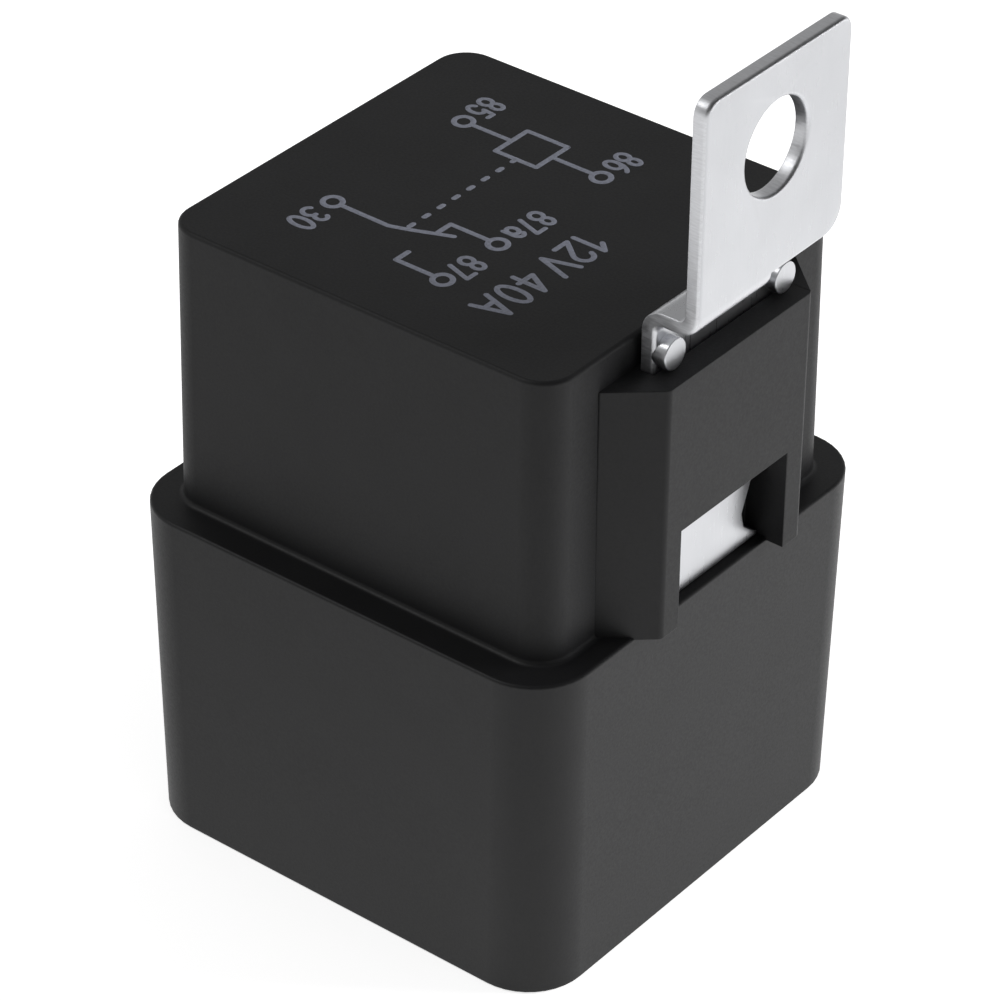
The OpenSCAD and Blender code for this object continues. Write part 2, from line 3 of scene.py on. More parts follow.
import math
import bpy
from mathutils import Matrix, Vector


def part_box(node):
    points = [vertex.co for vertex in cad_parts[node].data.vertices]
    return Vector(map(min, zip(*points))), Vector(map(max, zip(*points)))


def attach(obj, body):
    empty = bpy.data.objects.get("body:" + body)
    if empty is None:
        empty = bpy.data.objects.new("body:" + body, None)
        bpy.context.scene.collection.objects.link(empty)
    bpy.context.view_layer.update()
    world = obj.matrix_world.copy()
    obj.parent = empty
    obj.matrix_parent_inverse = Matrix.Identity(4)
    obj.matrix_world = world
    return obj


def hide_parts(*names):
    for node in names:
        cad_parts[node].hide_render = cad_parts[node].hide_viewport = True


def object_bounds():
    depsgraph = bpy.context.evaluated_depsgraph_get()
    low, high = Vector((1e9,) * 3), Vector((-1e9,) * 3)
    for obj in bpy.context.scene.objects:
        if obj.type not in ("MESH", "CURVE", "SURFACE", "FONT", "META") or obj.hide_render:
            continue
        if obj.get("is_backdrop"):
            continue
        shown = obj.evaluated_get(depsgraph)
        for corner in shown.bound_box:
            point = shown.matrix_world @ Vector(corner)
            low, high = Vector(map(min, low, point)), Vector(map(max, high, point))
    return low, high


bl_info = {
    "name": "Automotive relay",
    "version": (1, 0, 0),
    "blender": (4, 5, 0),
    "location": "View3D > Sidebar > Relay",
    "description": "Cover, bracket, blades, marking, inner finishes and stage of a relay",
    "category": "Object",
}

import bmesh
import bpy
from mathutils import Matrix, Vector

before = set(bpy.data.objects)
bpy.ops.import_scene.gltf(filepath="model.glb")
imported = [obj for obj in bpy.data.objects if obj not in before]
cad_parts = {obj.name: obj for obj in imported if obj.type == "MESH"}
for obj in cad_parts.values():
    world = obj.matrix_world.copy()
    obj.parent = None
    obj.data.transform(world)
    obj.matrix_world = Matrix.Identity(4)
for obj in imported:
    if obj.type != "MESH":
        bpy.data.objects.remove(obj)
CAD_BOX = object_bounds()
MM = 0.001
# Y of the middle of the bracket's tongue and pips, and of the pocket's slot for them
TONGUE_MIDDLE = 0.3 * MM


def in_metres(points):
    """Points of a plane in metres, from millimetres."""
    return [(x * MM, y * MM) for x, y in points]


def linear(hex_colour):
    """Turns an sRGB hex colour into the linear RGBA that shaders take."""
    channels = [int(hex_colour[i:i + 2], 16) / 255 for i in (1, 3, 5)]
    return tuple(
        c / 12.92 if c <= 0.04045 else ((c + 0.055) / 1.055) ** 2.4 for c in channels
    ) + (1.0,)


def length(name, description, millimetres):
    """A size that the sidebar shows in the scene's unit."""
    return bpy.props.FloatProperty(
        name=name, description=description, default=millimetres * MM, unit="LENGTH", precision=5
    )


def colour(name, description, hex_colour):
    """A colour that the sidebar shows as a swatch."""
    return bpy.props.FloatVectorProperty(
        name=name, description=description, default=linear(hex_colour), size=4,
        subtype="COLOR", min=0.0, max=1.0,
    )


# ---------- settings ----------


class CoverSettings(bpy.types.PropertyGroup):
    ledge: length("Ledge", "Height of the ledge above the rim", 21.9)
    rim_width: length("Rim width", "Width of the skirt at its rim", 30.0)
    skirt_width: length("Skirt width", "Width of the skirt under the ledge", 30.6)
    skirt_corner: length("Skirt corner", "Corner radius of the skirt", 3.8)
    body_x: length("Body X", "Width of the upper body along X at the roof", 27.0)
    body_y: length("Body Y", "Width of the upper body along Y at the roof", 26.1)
    body_draft: length("Draft", "Growth of the body's width from roof to ledge", 0.26)
    body_corner: length("Body corner", "Corner radius of the upper body", 2.1)
    lip: length("Lip", "Radius of the skirt's upper edge", 0.2)
    foot: length("Foot", "Fillet between body and ledge", 0.32)
    roof_edge: length("Roof edge", "Radius of the roof's edge", 0.25)
    rim_edge: length("Rim edge", "Radius of the rim's outer edge", 0.2)
    wall_inner: length("Skirt inside", "Width inside the skirt", 26.9)
    pocket_front: length("Pocket front", "Distance of the pocket's front from the axis", 16.4)
    pocket_half: length("Pocket half width", "Half width of the pocket's front", 6.5)
    pocket_top: length("Pocket top", "Height of the pocket's top above the rim", 37.9)
    window_half: length("Window half width", "Half width of the window in the pocket", 4.9)
    window_top: length("Window top", "Height of the window's top above the rim", 28.1)
    plastic: colour("Plastic", "Colour of the moulded cover", "#19191a")


class BracketSettings(bpy.types.PropertyGroup):
    sheet: length("Sheet", "Thickness of the sheet", 0.9)
    bend: length("Bend", "Outer radius of the bends", 1.4)
    edge: length("Edge", "Rounding of the sheared edges at the rear", 0.05)
    roll: length("Roll", "Rounding of the edges that the shears rolled over at the front", 0.25)
    hole: length("Hole", "Diameter of the screw hole", 5.6)
    hole_height: length("Hole height", "Height of the screw hole above the rim", 49.9)
    tab_width: length("Tab width", "Width of the fixing tab", 12.95)
    pip: length("Pip", "Diameter of the two pips", 1.9)
    pip_height: length("Pip height", "How far a pip stands out of the leg", 0.7)
    plating: colour("Plating", "Colour of the bright plating", "#d1d2d5")
    torn: colour("Torn edge", "Colour of the plating on the torn edges", "#e6e7ea")


class BladeSettings(bpy.types.PropertyGroup):
    edge: length("Edge", "Rounding of a blade's edges", 0.12)
    tip: length("Tip", "Chamfer of a blade's tip", 1.2)
    tin: colour("Tin", "Colour of the tinned brass", "#c9c3b0")


class MarkingSettings(bpy.types.PropertyGroup):
    line: length("Line", "Width of the symbol's lines", 0.34)
    letter_line: length("Letter line", "Width of the strokes of the numbers", 0.3)
    rating_line: length("Rating line", "Width of the strokes of the rating", 0.33)
    film: length("Film", "Thickness of the ink", 0.012)
    ink: colour("Ink", "Colour of the printed ink", "#7f828e")


class InnerSettings(bpy.types.PropertyGroup):
    nylon: colour("Nylon", "Colour of the bobbin", "#ded8c4")
    enamel: colour("Enamel", "Colour of the varnished wire", "#8c4a1e")
    tape: colour("Tape", "Colour of the coil's tape", "#d0a21c")
    iron: colour("Iron", "Colour of the plated iron", "#a9a8a2")
    copper: colour("Copper", "Colour of the copper alloy strips", "#c98d62")
    silver: colour("Silver", "Colour of the contacts", "#d3d0c8")


class StageSettings(bpy.types.PropertyGroup):
    azimuth: bpy.props.FloatProperty(
        name="Azimuth", description="Turn of the camera about the relay", subtype="ANGLE",
        default=math.radians(38.091))
    elevation: bpy.props.FloatProperty(
        name="Elevation", description="Height angle of the camera", subtype="ANGLE",
        default=math.radians(34.440))
    roll: bpy.props.FloatProperty(
        name="Roll", description="Turn of the camera about its own axis", subtype="ANGLE",
        default=math.radians(0.679))
    distance: length("Distance", "From the camera to its target", 385.02)
    target: bpy.props.FloatVectorProperty(
        name="Target", description="Point that the camera is turned to", subtype="XYZ",
        default=(-0.060772, 0.077608, -0.047186), precision=5)
    lens: bpy.props.FloatProperty(
        name="Lens", description="Focal length in millimetres on a 36 mm sensor", default=166.00)
    floor_width: length("Floor", "Width of the floor", 6000.0)
    floor: colour("Floor colour", "Colour of the floor", "#e6e6e6")
    ambient: bpy.props.FloatProperty(
        name="Ambient", description="Strength of the light that comes from all round", default=0.35)
    ceiling: bpy.props.FloatProperty(
        name="Ceiling", description="How bright the room above the horizon is in reflections",
        default=0.36)
    key: bpy.props.FloatProperty(
        name="Key", description="Power of the large lamp at the right, in watts", default=6.5)
    fill: bpy.props.FloatProperty(
        name="Fill", description="Power of the lamp at the left, in watts", default=1.2)


SETTINGS = {
    "relay_cover": CoverSettings,
    "relay_bracket": BracketSettings,
    "relay_blades": BladeSettings,
    "relay_marking": MarkingSettings,
    "relay_inner": InnerSettings,
    "relay_stage": StageSettings,
}


# ---------- materials ----------

# nearly all of a noise pattern lies between these values
NOISE_SPAN = (0.3, 0.7)
# radians that a wave texture runs through in a unit of its scale
WAVE_RADIANS = 20.0


def add_node(material, kind, settings=None, inputs=None, links=None):
    """Adds a node, sets its properties and input values, and links its inputs. An input goes
    by its name, or by its number where two have the same name."""
    tree = material.node_tree
    node = tree.nodes.new(kind)
    for name, value in (settings or {}).items():
        setattr(node, name, value)
    for key, value in (inputs or {}).items():
        node.inputs[key].default_value = value
    for key, socket in (links or {}).items():
        tree.links.new(socket, node.inputs[key])
    return node


def scale_of(millimetres):
    """Texture scale at which one feature is that many millimetres wide."""
    return 1.0 / (millimetres * MM)


def new_material(name):
    """An empty node material with the places of its surface, in metres."""
    material = bpy.data.materials.new(name)
    material.use_nodes = True
    material.node_tree.nodes.clear()
    place = add_node(material, "ShaderNodeTexCoord").outputs["Object"]
    return material, place


def finish_material(material, inputs, base=None, tone=None, gloss=None, relief=()):
    """Ends a material with its shader. A tone is a pattern with its lowest and highest factor on
    the base colour, and a gloss the same for the roughness; both may end with the span that the
    pattern is read over. A relief row is a pattern, its strength and its depth in millimetres."""
    links = {}
    for socket, row in (("Base Color", tone), ("Roughness", gloss)):
        if row:
            pattern, low, high, start, end = row if len(row) == 5 else (*row, *NOISE_SPAN)
            ranged = add_node(material, "ShaderNodeMapRange",
                              inputs={"From Min": start, "From Max": end,
                                      "To Min": low, "To Max": high},
                              links={"Value": pattern})
            links[socket] = ranged.outputs["Result"]
    if tone:
        body = add_node(material, "ShaderNodeMix",
                        settings={"data_type": "RGBA", "blend_type": "MULTIPLY"},
                        inputs={"Factor": 1.0, "A": base}, links={"B": links["Base Color"]})
        links["Base Color"] = body.outputs["Result"]
    for pattern, strength, depth in relief:
        below = {"Normal": links["Normal"]} if "Normal" in links else {}
        bump = add_node(material, "ShaderNodeBump",
                        inputs={"Strength": strength, "Distance": depth * MM},
                        links={"Height": pattern, **below})
        links["Normal"] = bump.outputs["Normal"]
    shader = add_node(material, "ShaderNodeBsdfPrincipled", inputs=inputs, links=links)
    add_node(material, "ShaderNodeOutputMaterial", links={"Surface": shader.outputs["BSDF"]})
    return material


def moulded_pbt(name, base, roughness=0.5, grain=0.16):
    """Glass-filled PBT, moulded against a spark-eroded tool: a fine, dry grain that
    breaks every reflection, with faint clouds where the glass lies near the surface."""
    material, place = new_material(name)
    # the real grain is finer; it is drawn as coarse as it needs to show
    fine = add_node(material, "ShaderNodeTexNoise",
                    inputs={"Scale": scale_of(grain), "Detail": 3.0, "Roughness": 0.6},
                    links={"Vector": place}).outputs["Fac"]
    cloud = add_node(material, "ShaderNodeTexNoise",
                     inputs={"Scale": scale_of(3.5), "Detail": 4.0, "Roughness": 0.55},
                     links={"Vector": place}).outputs["Fac"]
    return finish_material(material, {"IOR": 1.5, "Specular IOR Level": 0.3}, base,
                           tone=(cloud, 0.88, 1.12),
                           gloss=(fine, roughness - 0.05, roughness + 0.05),
                           relief=[(fine, 0.35, 0.012)])


def plated_steel(name, base):
    """Cold-rolled steel sheet with bright nickel: a mirror softened by the rolling, whose
    faint lines run along the sheet and whose slow waves bend what it reflects."""
    material, place = new_material(name)
    along = add_node(material, "ShaderNodeMapping",
                     inputs={"Scale": (1.0, 1.0, 0.06)}, links={"Vector": place})
    rolled = add_node(material, "ShaderNodeTexNoise",
                      inputs={"Scale": scale_of(0.14), "Detail": 3.0, "Roughness": 0.6},
                      links={"Vector": along.outputs["Vector"]}).outputs["Fac"]
    wave = add_node(material, "ShaderNodeTexNoise",
                    inputs={"Scale": scale_of(4.0), "Detail": 2.0, "Roughness": 0.5},
                    links={"Vector": place}).outputs["Fac"]
    return finish_material(material, {"Metallic": 1.0}, base,
                           tone=(wave, 0.95, 1.0), gloss=(rolled, 0.26, 0.36),
                           relief=[(wave, 0.5, 0.03), (rolled, 0.1, 0.004)])


def sheared_steel(name, base):
    """The sheet's cut edge under its nickel: torn rather than rolled, so it is dull, with
    fine lines that run through the sheet's thickness."""
    material, place = new_material(name)
    through = add_node(material, "ShaderNodeMapping",
                       inputs={"Scale": (0.15, 1.0, 1.0)}, links={"Vector": place})
    tear = add_node(material, "ShaderNodeTexNoise",
                    inputs={"Scale": scale_of(0.12), "Detail": 4.0, "Roughness": 0.65},
                    links={"Vector": through.outputs["Vector"]}).outputs["Fac"]
    return finish_material(material, {"Metallic": 1.0}, base, tone=(tear, 0.78, 1.0),
                           gloss=(tear, 0.32, 0.5), relief=[(tear, 0.5, 0.01)])


def drawn_metal(name, base, roughness, grain=0.25, stain=0.9):
    """Strip or wire metal with a dull skin: fine drawing marks and cloudy stains."""
    material, place = new_material(name)
    marks = add_node(material, "ShaderNodeTexNoise",
                     inputs={"Scale": scale_of(grain), "Detail": 4.0, "Roughness": 0.65},
                     links={"Vector": place}).outputs["Fac"]
    cloud = add_node(material, "ShaderNodeTexNoise",
                     inputs={"Scale": scale_of(2.2), "Detail": 3.0, "Roughness": 0.5},
                     links={"Vector": place}).outputs["Fac"]
    return finish_material(material, {"Metallic": 1.0}, base, tone=(cloud, stain, 1.0),
                           gloss=(marks, roughness - 0.07, roughness + 0.07),
                           relief=[(marks, 0.2, 0.006)])


def cast_resin(name, base):
    """Epoxy poured round the blades: glossy, with the slow waves of a set liquid and a
    little dust that dulls it in spots."""
    material, place = new_material(name)
    wave = add_node(material, "ShaderNodeTexNoise",
                    inputs={"Scale": scale_of(5.0), "Detail": 2.0, "Roughness": 0.4},
                    links={"Vector": place}).outputs["Fac"]
    dust = add_node(material, "ShaderNodeTexNoise",
                    inputs={"Scale": scale_of(0.4), "Detail": 4.0, "Roughness": 0.7},
                    links={"Vector": place}).outputs["Fac"]
    return finish_material(material, {"Base Color": base, "IOR": 1.55},
                           gloss=(dust, 0.16, 0.34, 0.35, 0.75), relief=[(wave, 0.6, 0.15)])


def printed_ink(name, base):
    """Pad-printed two-part ink: matt, thin, with tiny pinholes where it skipped the grain."""
    material, place = new_material(name)
    speck = add_node(material, "ShaderNodeTexNoise",
                     inputs={"Scale": scale_of(0.22), "Detail": 3.0, "Roughness": 0.7},
                     links={"Vector": place}).outputs["Fac"]
    return finish_material(material, {"IOR": 1.5, "Roughness": 0.75}, base,
                           tone=(speck, 0.72, 1.0, 0.3, 0.55), relief=[(speck, 0.3, 0.006)])


def wound_wire(name, base, wire=0.22):
    """Varnished copper wire wound layer on layer: glossy ribs that follow the turns, with painted
    shade darkening the grooves between them.
    """
    material, place = new_material(name)
    # the real wire is too fine to show; one rib is drawn as wide as six turns of it
    turns = add_node(material, "ShaderNodeTexWave",
                     settings={"wave_type": "BANDS", "bands_direction": "Z"},
                     inputs={"Scale": scale_of(wire) / WAVE_RADIANS, "Distortion": 0.6,
                             "Detail": 1.0},
                     links={"Vector": place}).outputs["Fac"]
    # painted shade: the base colour falls to 0.55 where the ribs dip, in the grooves between them
    return finish_material(material,
                           {"IOR": 1.5, "Roughness": 0.25, "Coat Weight": 0.5,
                            "Coat Roughness": 0.15},
                           base, tone=(turns, 0.55, 1.0, 0.0, 1.0), relief=[(turns, 0.8, 0.08)])


def thin_film(name, base):
    """Polyester tape pulled tight: smooth and a little wrinkled."""
    material, place = new_material(name)
    wrinkle = add_node(material, "ShaderNodeTexNoise",
                       inputs={"Scale": scale_of(1.5), "Detail": 3.0, "Roughness": 0.6},
                       links={"Vector": place}).outputs["Fac"]
    return finish_material(material, {"IOR": 1.6, "Roughness": 0.2}, base,
                           tone=(wrinkle, 0.85, 1.0), relief=[(wrinkle, 0.4, 0.05)])


# ---------- mesh helpers ----------


def ring(width, depth, radius, height, steps=10):
    """Points of a rounded rectangle at a height, anticlockwise."""
    points = []
    for quarter, (sx, sy) in enumerate(((1, 1), (-1, 1), (-1, -1), (1, -1))):
        for i in range(steps + 1):
            angle = math.radians(90 * (quarter + i / steps))
            points.append((sx * (width / 2 - radius) + radius * math.cos(angle),
                           sy * (depth / 2 - radius) + radius * math.sin(angle), height))
    return points


def skin(mesh, rings):
    """A tube of faces through the rings. Returns their rows of vertices."""
    rows = [[mesh.verts.new(point) for point in points] for points in rings]
    for low, high in zip(rows, rows[1:]):
        count = len(low)
        for i in range(count):
            mesh.faces.new((low[i], low[(i + 1) % count], high[(i + 1) % count], high[i]))
    return rows


def loft(mesh, rings):
    """A closed skin through the rings, capped at the first and the last."""
    rows = skin(mesh, rings)
    mesh.faces.new(rows[0])
    mesh.faces.new(rows[-1])


def block(mesh, low, high):
    """A box between two corners."""
    loft(mesh, [[(low[0], low[1], z), (high[0], low[1], z),
                 (high[0], high[1], z), (low[0], high[1], z)] for z in (low[2], high[2])])


def link_object(name, mesh):
    """Puts a bmesh into the scene as an object, with the normals that it has."""
    data = bpy.data.meshes.new(name)
    mesh.to_mesh(data)
    mesh.free()
    piece = bpy.data.objects.new(name, data)
    bpy.context.scene.collection.objects.link(piece)
    return piece


def new_object(name, mesh):
    """Puts a closed bmesh into the scene as an object with its faces turned outwards."""
    bmesh.ops.recalc_face_normals(mesh, faces=mesh.faces)
    return link_object(name, mesh)


def settle(piece):
    """Applies a piece's modifiers to its mesh."""
    graph = bpy.context.evaluated_depsgraph_get()
    data = bpy.data.meshes.new_from_object(piece.evaluated_get(graph))
    piece.modifiers.clear()
    old = piece.data
    piece.data = data
    bpy.data.meshes.remove(old)


def smooth(data, angle=35.0):
    """Smooth shading with sharp edges where faces meet at more than the angle."""
    data.polygons.foreach_set("use_smooth", [True] * len(data.polygons))
    data.set_sharp_from_angle(angle=math.radians(angle))


def even_normals(piece, angle=35.0):
    """Keeps flat faces flat where they run into rounded edges."""
    smooth(piece.data, angle)
    modifier = piece.modifiers.new("normals", "WEIGHTED_NORMAL")
    modifier.keep_sharp = True
    modifier.weight = 90
    settle(piece)


def cut(piece, low, high):
    """Takes a box out of a piece."""
    mesh = bmesh.new()
    block(mesh, low, high)
    tool = new_object("cutter", mesh)
    modifier = piece.modifiers.new("cut", "BOOLEAN")
    modifier.operation = "DIFFERENCE"
    modifier.solver = "EXACT"
    modifier.object = tool
    settle(piece)
    bpy.data.objects.remove(tool)


def round_edges(piece, width, segments=2, angle=40.0):
    """Rounds the edges where faces meet at more than the angle."""
    modifier = piece.modifiers.new("edges", "BEVEL")
    modifier.width = width
    modifier.segments = segments
    modifier.limit_method = "ANGLE"
    modifier.angle_limit = math.radians(angle)
    settle(piece)


def join(name, pieces):
    """One object out of several, with their normals kept."""
    mesh = bmesh.new()
    for piece in pieces:
        mesh.from_mesh(piece.data)
        bpy.data.objects.remove(piece)
    return link_object(name, mesh)


def oval(cx, cy, rx, ry, start=0, end=360, steps=20):
    """Points on an ellipse, with the angles in degrees."""
    return [(cx + rx * math.cos(math.radians(start + (end - start) * i / steps)),
             cy + ry * math.sin(math.radians(start + (end - start) * i / steps)))
            for i in range(steps + 1)]


def arc(centre, radius, start, end, steps=8):
    """Points on a circle, with the angles in degrees."""
    return oval(*centre, radius, radius, start, end, steps)


def mitred(outline):
    """Corners of an outline, each with its move when the outline shrinks by one."""
    corners = [Vector(point) for point in outline]
    moves = []
    for before, here, after in zip(corners[-1:] + corners[:-1], corners, corners[1:] + corners[:1]):
        first, second = (here - before).normalized(), (after - here).normalized()
        inward = Vector((-first.y - second.y, first.x + second.x))
        moves.append((here, inward / (1 + first.dot(second))))
    return moves


def plate(outlines, thickness, edge, roll=0.0, roll_from=math.inf, steps=4):
    """A flat plate in XY with rounded edges. The shears roll its front edge over by a larger
    radius above a height. The outline runs anticlockwise and its holes clockwise."""
    mesh = bmesh.new()
    ends = {-1: [], 1: []}
    for outline in outlines:
        corners = mitred(outline)
        rings = []
        for side, order in ((-1, range(steps, -1, -1)), (1, range(steps + 1))):
            for step in order:
                turn = math.radians(90 * step / steps)
                points = []
                for here, inward in corners:
                    radius = roll if side == 1 and here.y > roll_from else edge
                    spot = here + inward * radius * (1 - math.cos(turn))
                    points.append((*spot, side * (thickness / 2 - radius * (1 - math.sin(turn)))))
                rings.append(points)
        rows = skin(mesh, rings)
        for side, row in ((-1, rows[0]), (1, rows[-1])):
            ends[side] += [mesh.edges.get(pair) for pair in zip(row, row[1:] + row[:1])]
    for edges in ends.values():
        bmesh.ops.triangle_fill(mesh, use_beauty=True, edges=edges)
    return mesh


def mark_sheared(piece, axis, faces_along=0.8):
    """Gives the faces that don't look along an axis to the second material."""
    for polygon in piece.data.polygons:
        polygon.material_index = int(abs(polygon.normal[axis]) < faces_along)


def dress(piece, materials, body, slot, *nodes):
    """Gives a piece its materials, hangs it on the body it rides on, and hides the nodes that it
    stands in for.
    """
    for material in materials:
        piece.data.materials.append(material)
    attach(piece, body)
    if nodes:
        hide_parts(*nodes)
    return piece


# ---------- cover ----------


def cover_rings(s):
    """Rings from the ceiling down the inside, round the rim and up the outside to the roof."""
    low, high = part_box("cover")
    roof = high.z
    body_walls, roof_wall, ledge_wall = 2.7 * MM, 1.4 * MM, 1.6 * MM
    cavity = s.body_x - body_walls, s.body_y - body_walls, 1.2 * MM
    skirt_corner, cavity_end = 2.2 * MM, s.ledge - ledge_wall
    rim_inner = s.wall_inner + 2 * s.rim_edge
    rings = [
        ring(*cavity, roof - roof_wall),
        ring(*cavity, cavity_end),
        ring(s.wall_inner, s.wall_inner, skirt_corner, cavity_end),
        ring(s.wall_inner, s.wall_inner, skirt_corner, s.rim_edge),
        ring(rim_inner, rim_inner, skirt_corner + s.rim_edge, low.z),
    ]

    def quarter(radius, place, steps=6):
        for i in range(steps + 1):
            angle = math.pi / 2 * i / steps
            rings.append(place(radius * math.cos(angle), radius * math.sin(angle)))

    # outer edge of the rim
    quarter(s.rim_edge, lambda c, k: ring(
        s.rim_width - 2 * (s.rim_edge - k), s.rim_width - 2 * (s.rim_edge - k),
        s.skirt_corner - (s.rim_edge - k), low.z + s.rim_edge - c))
    # lip of the skirt
    quarter(s.lip, lambda c, k: ring(
        s.skirt_width - 2 * (s.lip - c), s.skirt_width - 2 * (s.lip - c),
        s.skirt_corner - (s.lip - c), s.ledge - s.lip + k))
    # fillet at the body's foot
    foot_x, foot_y = s.body_x + s.body_draft, s.body_y + s.body_draft
    quarter(s.foot, lambda c, k: ring(
        foot_x + 2 * (s.foot - k), foot_y + 2 * (s.foot - k),
        s.body_corner + (s.foot - k), s.ledge + s.foot - c))
    # edge of the roof
    quarter(s.roof_edge, lambda c, k: ring(
        s.body_x - 2 * (s.roof_edge - c), s.body_y - 2 * (s.roof_edge - c),
        s.body_corner - (s.roof_edge - c), roof - s.roof_edge + k))
    return rings


def pocket(s):
    """The pocket on the +X side, with its slot for the bracket and its window."""
    turn, turn_inset = 0.5 * MM, 0.3 * MM
    root_x, root_half, root_depth = s.body_x / 2 + 0.1 * MM, 8.9 * MM, 0.5 * MM
    cheek = math.degrees(math.atan2(root_half - s.pocket_half, s.pocket_front - root_x))
    half = [(s.body_x / 2 - root_depth, root_half), (root_x, root_half)]
    half += arc((s.pocket_front - turn, s.pocket_half - turn_inset), turn, 90 - cheek, 0)
    outline = half + [(x, -y) for x, y in reversed(half)]
    mesh = bmesh.new()
    loft(mesh, [[(x, y, z) for x, y in outline] for z in (s.ledge - s.lip, s.pocket_top)])
    piece = new_object("pocket", mesh)
    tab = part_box("bracket")[0]
    leg_front = tab.x + bpy.context.scene.relay_bracket.sheet
    play, past, overlap = 0.05 * MM, 1 * MM, 0.1 * MM
    rear, front = tab.x - play, leg_front + play
    leg_slot, leg_right, barb_slot, barb_half = 30 * MM, 6.3 * MM, 31 * MM, 4.6 * MM
    rounding = 0.16 * MM
    # slot for the leg, wider slot for the barbs, window
    cut(piece, (rear, tab.y - 2 * play, leg_slot), (front, leg_right, s.pocket_top + past))
    cut(piece, (rear, TONGUE_MIDDLE - barb_half, s.ledge - past),
        (front, TONGUE_MIDDLE + barb_half, barb_slot))
    cut(piece, (leg_front - overlap, -s.window_half, s.ledge - past),
        (s.pocket_front + past, s.window_half, s.window_top))
    round_edges(piece, rounding)
    even_normals(piece)
    return piece


class RELAY_OT_cover(bpy.types.Operator):
    """Moulds the cover: skirt, ledge, upper body and bracket pocket"""
    bl_idname = "relay.cover"
    bl_label = "Cover"

    def execute(self, context):
        s = context.scene.relay_cover
        mesh = bmesh.new()
        loft(mesh, cover_rings(s))
        shell = new_object("shell", mesh)
        even_normals(shell)
        cover = join("cover_moulding", [shell, pocket(s)])
        # the tool's upper half is a separate insert, eroded a little coarser
        for polygon in cover.data.polygons:
            polygon.material_index = int(polygon.center.z > s.ledge + s.foot / 2)
        dress(cover, [moulded_pbt("pbt_spark_grain", s.plastic, 0.48),
                      moulded_pbt("pbt_coarse_grain", s.plastic, 0.53)],
              "relay", "black_pbt", "cover")
        return {"FINISHED"}


# ---------- bracket ----------


def bracket_blank(b):
    """The flat blank, with Y across and the length along the sheet's middle from the rim up,
    and the function that gives a point of it its place and its tilt in the folded bracket."""
    low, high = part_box("bracket")
    reach = b.bend - b.sheet / 2
    bend_length = math.pi / 2 * reach
    flange_top = 41.8 * MM
    rear_bend = flange_top - b.bend
    flange_start = rear_bend + bend_length
    front_bend = flange_start + high.x - low.x - 2 * b.bend
    tab_start = front_bend + bend_length
    tab_foot = flange_top - b.sheet + b.bend
    left, right, top = low.y, low.y + b.tab_width, tab_start + high.z - tab_foot
    leg_right, neck = 6.2 * MM, 1.0 * MM
    shoulder, leg_top, roll_start = 30.5 * MM, 40.1 * MM, 29.5 * MM
    corner, free_corner = 1.0 * MM, 1.6 * MM
    # beside the neck, the tab starts a little below the end of its bend
    free = tab_start - 0.2 * MM
    # half widths of the tongue with its barbs, from its end to its shoulder
    tongue = [(4.45, 22.0), (4.45, 22.2), (3.15, 23.2), (2.9, 24.2), (3.7, 26.2), (3.7, 30.5)]
    outline = [(TONGUE_MIDDLE + w * MM, z * MM) for w, z in tongue]
    outline += [(leg_right, shoulder), (leg_right, leg_top), (neck, leg_top), (neck, free)]
    outline += arc((right - free_corner, free + free_corner), free_corner, -90, 0)
    outline += arc((right - corner, top - corner), corner, 0, 90)
    outline += arc((left + corner, top - corner), corner, 90, 180)
    outline += [(left, shoulder)]
    outline += [(TONGUE_MIDDLE - w * MM, z * MM) for w, z in reversed(tongue)]
    hole_middle = ((left + right) / 2, tab_start + b.hole_height - tab_foot)
    hole = arc(hole_middle, b.hole / 2, 360, 0, 64)[:-1]
    mesh = plate([outline, hole], b.sheet, b.edge, b.roll, roll_start)
    folds, hair = 12, 0.01 * MM
    for start in (rear_bend, front_bend):
        for i in range(folds + 1):
            bmesh.ops.bisect_plane(
                mesh, geom=mesh.verts[:] + mesh.edges[:] + mesh.faces[:],
                plane_co=(0, start + bend_length * i / folds, 0), plane_no=(0, 1, 0), dist=1e-7)

    def place(point):
        y, along, depth = point
        if along <= rear_bend:
            return (low.x + b.sheet / 2 + depth, y, along), 0.0
        if y > neck + hair or along >= tab_start:
            return (high.x - b.sheet / 2 + depth, y, tab_foot + along - tab_start), 0.0
        if along <= flange_start:
            tilt = (along - rear_bend) / reach
            return (low.x + b.bend - (reach - depth) * math.cos(tilt), y,
                    rear_bend + (reach - depth) * math.sin(tilt)), tilt
        if along <= front_bend:
            return (low.x + b.bend + along - flange_start, y,
                    flange_top - b.sheet / 2 - depth), math.pi / 2
        tilt = (tab_start - along) / reach
        return (high.x - b.bend + (reach + depth) * math.cos(tilt), y,
                tab_foot - (reach + depth) * math.sin(tilt)), tilt

    return mesh, place


def fold_up(piece, place):
    """Takes a flat piece's vertices and normals to where its folds put them."""
    data = piece.data
    spots = [place(vertex.co) for vertex in data.vertices]
    normals = []
    for loop in data.loops:
        tilt = spots[loop.vertex_index][1]
        across, along, out = data.corner_normals[loop.index].vector
        normals.append((along * math.sin(tilt) + out * math.cos(tilt), across,
                        along * math.cos(tilt) - out * math.sin(tilt)))
    for vertex, (spot, _) in zip(data.vertices, spots):
        vertex.co = spot
    data.normals_split_custom_set(normals)


def pip(mesh, x, y, z, radius, height):
    """A round pip half-sheared out of the sheet, towards +X."""
    root, edge = 0.2 * MM, 0.06 * MM
    profile = [(-root, radius)] + arc((height - edge, radius - edge), edge, 90, 0, 6)
    loft(mesh, [[(x + out, *point) for point in arc((y, z), r, 0, 360, 32)[:-1]]
                for out, r in profile])


